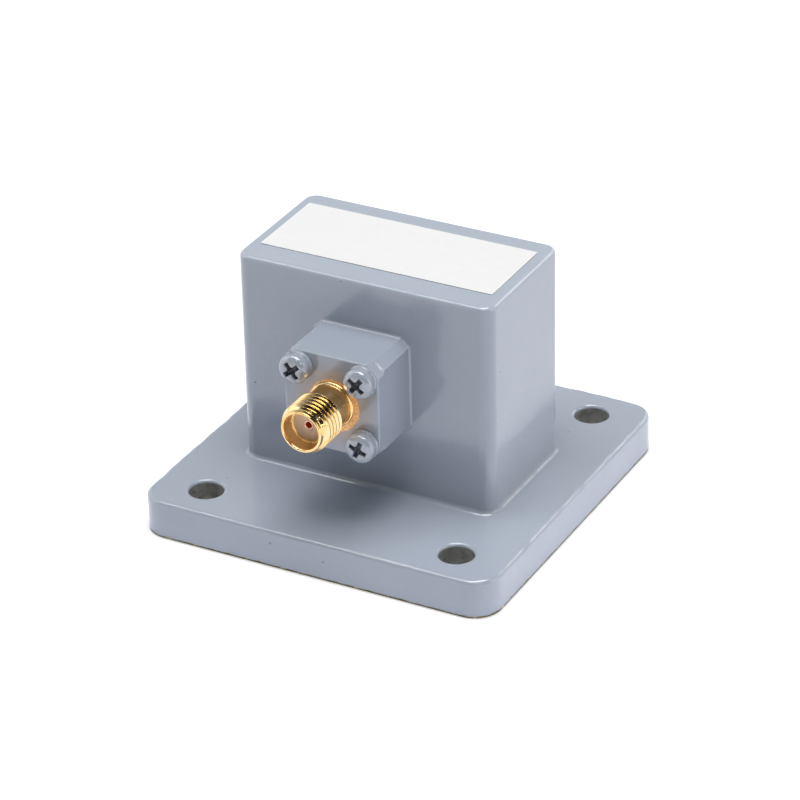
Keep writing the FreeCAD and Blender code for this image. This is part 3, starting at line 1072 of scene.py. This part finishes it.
def make_contact():
    """The spring contact: a slit tube with a soft mouth, and a bore coloured red as painted shade and
    gold-tinted bounce light.
    """
    outer, bore, soft = CONTACT_RADIUS, CONTACT_BORE, CONTACT_EDGE
    front = front_wall - contact_low.y
    back = front_wall - contact_high.y
    deep = front - CONTACT_BORE_DEPTH
    gap = CONTACT_SLIT / 2
    profile = [(bore, deep), (bore, front - soft)]
    profile += arc(bore + soft, front - soft, soft, (150, 120, 90))
    profile += arc(outer - soft, front - soft, soft, (60, 30, 0))
    profile.append((outer, deep))
    bm = bmesh.new()
    for quarter in range(4):
        rows = []
        start = quarter * math.pi / 2
        for r, s in profile:
            tilt = math.asin(gap / r)
            span = math.pi / 2 - 2 * tilt
            turn = [tilt + span * k / CONTACT_STEPS + start for k in range(CONTACT_STEPS + 1)]
            rows.append([bm.verts.new((r * math.cos(t), r * math.sin(t), s)) for t in turn])
        # Painted shade and bounce light: the bore's wall and floor take the red colour
        for row, (low, high) in enumerate(zip(rows, rows[1:])):
            for k in range(CONTACT_STEPS):
                face = bm.faces.new((low[k], low[k + 1], high[k + 1], high[k]))
                face.material_index = 1 if row == 0 else 0
        for side in (0, -1):
            bm.faces.new([row[side] for row in rows])
        bm.faces.new(rows[0] + rows[-1][::-1])
    add_loops(bm, [circle_loop(outer, back), circle_loop(outer, deep)])
    bm.faces.ensure_lookup_table()
    bm.faces[-1].material_index = 1
    return finish_mesh("centre_contact_slit", bm, [contact_gold, bore_painted_bounce], matrix=SOCKET_FRAME,
                       replaces="centre_contact")


make_body()
make_flange()
make_boss()
make_shell()
make_insulator()
make_screws()
make_washers()
make_label()
make_contact()

for node, material in (("short_plate", chromate), ("probe_tip", contact_gold)):
    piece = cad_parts[node]
    piece.data.materials.clear()
    piece.data.materials.append(material)


# Studio

def make_floor():
    """A plain pale floor that keeps the shadow and fades to white around it."""
    bpy.ops.mesh.primitive_plane_add(size=FLOOR_SIZE, location=(0, 0, -FLOOR_DROP))
    floor = bpy.context.object
    floor.name = "studio_floor"
    shader = Shader("studio_floor")
    shader.set(colour=(*FLOOR_COLOUR, 1), roughness=FLOOR_ROUGHNESS, specular=0.1, glow_colour=(1, 1, 1, 1))
    rays = shader.new("ShaderNodeLightPath").outputs
    seen = shader.math("MAXIMUM", rays["Is Camera Ray"], rays["Is Transmission Ray"])
    mirrored = shader.math("MAXIMUM", seen, rays["Is Glossy Ray"])
    reach = shader.new("ShaderNodeVectorMath", operation="LENGTH")
    shader.join(shader.place, reach.inputs[0])
    fade = shader.ramp(reach.outputs["Value"], GLOW_NEAR, GLOW_FAR, FLOOR_GLOW)
    shader.feed("Emission Strength", shader.math("MULTIPLY", mirrored, fade))
    floor.data.materials.append(shader.material)


def make_world():
    """A white backdrop, darker over the front, with a soft light from above."""
    world = bpy.data.worlds.new("studio")
    bpy.context.scene.world = world
    world.use_nodes = True
    sky = NodeTree(world.node_tree)
    out = sky.split(sky.new("ShaderNodeTexCoord").outputs["Generated"])
    above = sky.math("MULTIPLY", out["Z"], SKY_LIGHT, clamp=True)
    behind = sky.math("MULTIPLY", out["Y"], BACKDROP_RISE, clamp=True)
    rim = sky.math("SUBTRACT", sky.math("ADD", behind, BACKDROP_LOW), out["Z"])
    rim = sky.math("SUBTRACT", rim, sky.math("MULTIPLY", out["X"], BACKDROP_LEAN))
    backdrop = sky.math("MULTIPLY", rim, BACKDROP_SOFTNESS, clamp=True)
    backdrop = sky.math("MULTIPLY", backdrop, BACKDROP_LEVEL)
    glossy = sky.math("MAXIMUM", sky.math("MULTIPLY", above, GLOSSY_SKY), backdrop)
    left_wall = sky.math("MULTIPLY", out["X"], LEFT_WALL_SLOPE)
    left_wall = sky.math("SUBTRACT", left_wall, LEFT_WALL_START, clamp=True)
    glossy = sky.math("MAXIMUM", glossy, left_wall)
    rays = sky.new("ShaderNodeLightPath").outputs
    pick = sky.new("ShaderNodeMix")
    sky.join(rays["Is Glossy Ray"], pick.inputs["Factor"])
    sky.join(above, pick.inputs["A"])
    sky.join(glossy, pick.inputs["B"])
    seen = sky.math("MAXIMUM", rays["Is Camera Ray"], rays["Is Transmission Ray"])
    strength = sky.math("MAXIMUM", pick.outputs["Result"], seen)
    background = sky.nodes["Background"]
    background.inputs["Color"].default_value = (1, 1, 1, 1)
    sky.join(strength, background.inputs["Strength"])


def make_lamp(name, place, size, power):
    """A rectangular lamp that faces the object."""
    data = bpy.data.lights.new(name, "AREA")
    data.shape = "RECTANGLE"
    data.size, data.size_y = size
    data.energy = power
    lamp = bpy.data.objects.new(name, data)
    bpy.context.scene.collection.objects.link(lamp)
    facing = (Vector(LAMP_AIM) - Vector(place)).to_track_quat("-Z", "Y")
    lamp.matrix_world = Matrix.Translation(Vector(place)) @ facing.to_matrix().to_4x4()


def make_camera():
    """The camera, at its place round the object as the photograph's was."""
    back = Vector((
        math.sin(CAMERA_AZIMUTH) * math.cos(CAMERA_ELEVATION),
        -math.cos(CAMERA_AZIMUTH) * math.cos(CAMERA_ELEVATION),
        math.sin(CAMERA_ELEVATION),
    ))
    level = Vector((math.cos(CAMERA_AZIMUTH), math.sin(CAMERA_AZIMUTH), 0))
    above = back.cross(level)
    right = level * math.cos(CAMERA_ROLL) + above * math.sin(CAMERA_ROLL)
    up = above * math.cos(CAMERA_ROLL) - level * math.sin(CAMERA_ROLL)
    data = bpy.data.cameras.new("camera")
    data.sensor_fit = "HORIZONTAL"
    data.sensor_width = SENSOR_MM
    data.lens = FOCAL_PIXELS / IMAGE_PIXELS * SENSOR_MM
    data.clip_start = CAMERA_NEAR
    data.clip_end = CAMERA_FAR
    camera = bpy.data.objects.new("camera", data)
    bpy.context.scene.collection.objects.link(camera)
    place = right * CAMERA_SHIFT_RIGHT + up * CAMERA_SHIFT_UP + back * CAMERA_DISTANCE
    camera.matrix_world = Matrix((
        (right.x, up.x, back.x, place.x),
        (right.y, up.y, back.y, place.y),
        (right.z, up.z, back.z, place.z),
        (0, 0, 0, 1),
    ))
    bpy.context.scene.camera = camera


make_floor()
make_world()
for lamp_name, lamp_place, lamp_size, lamp_power in LAMPS:
    make_lamp(lamp_name, lamp_place, lamp_size, lamp_power)
make_camera()
bpy.context.scene.view_settings.view_transform = "Standard"
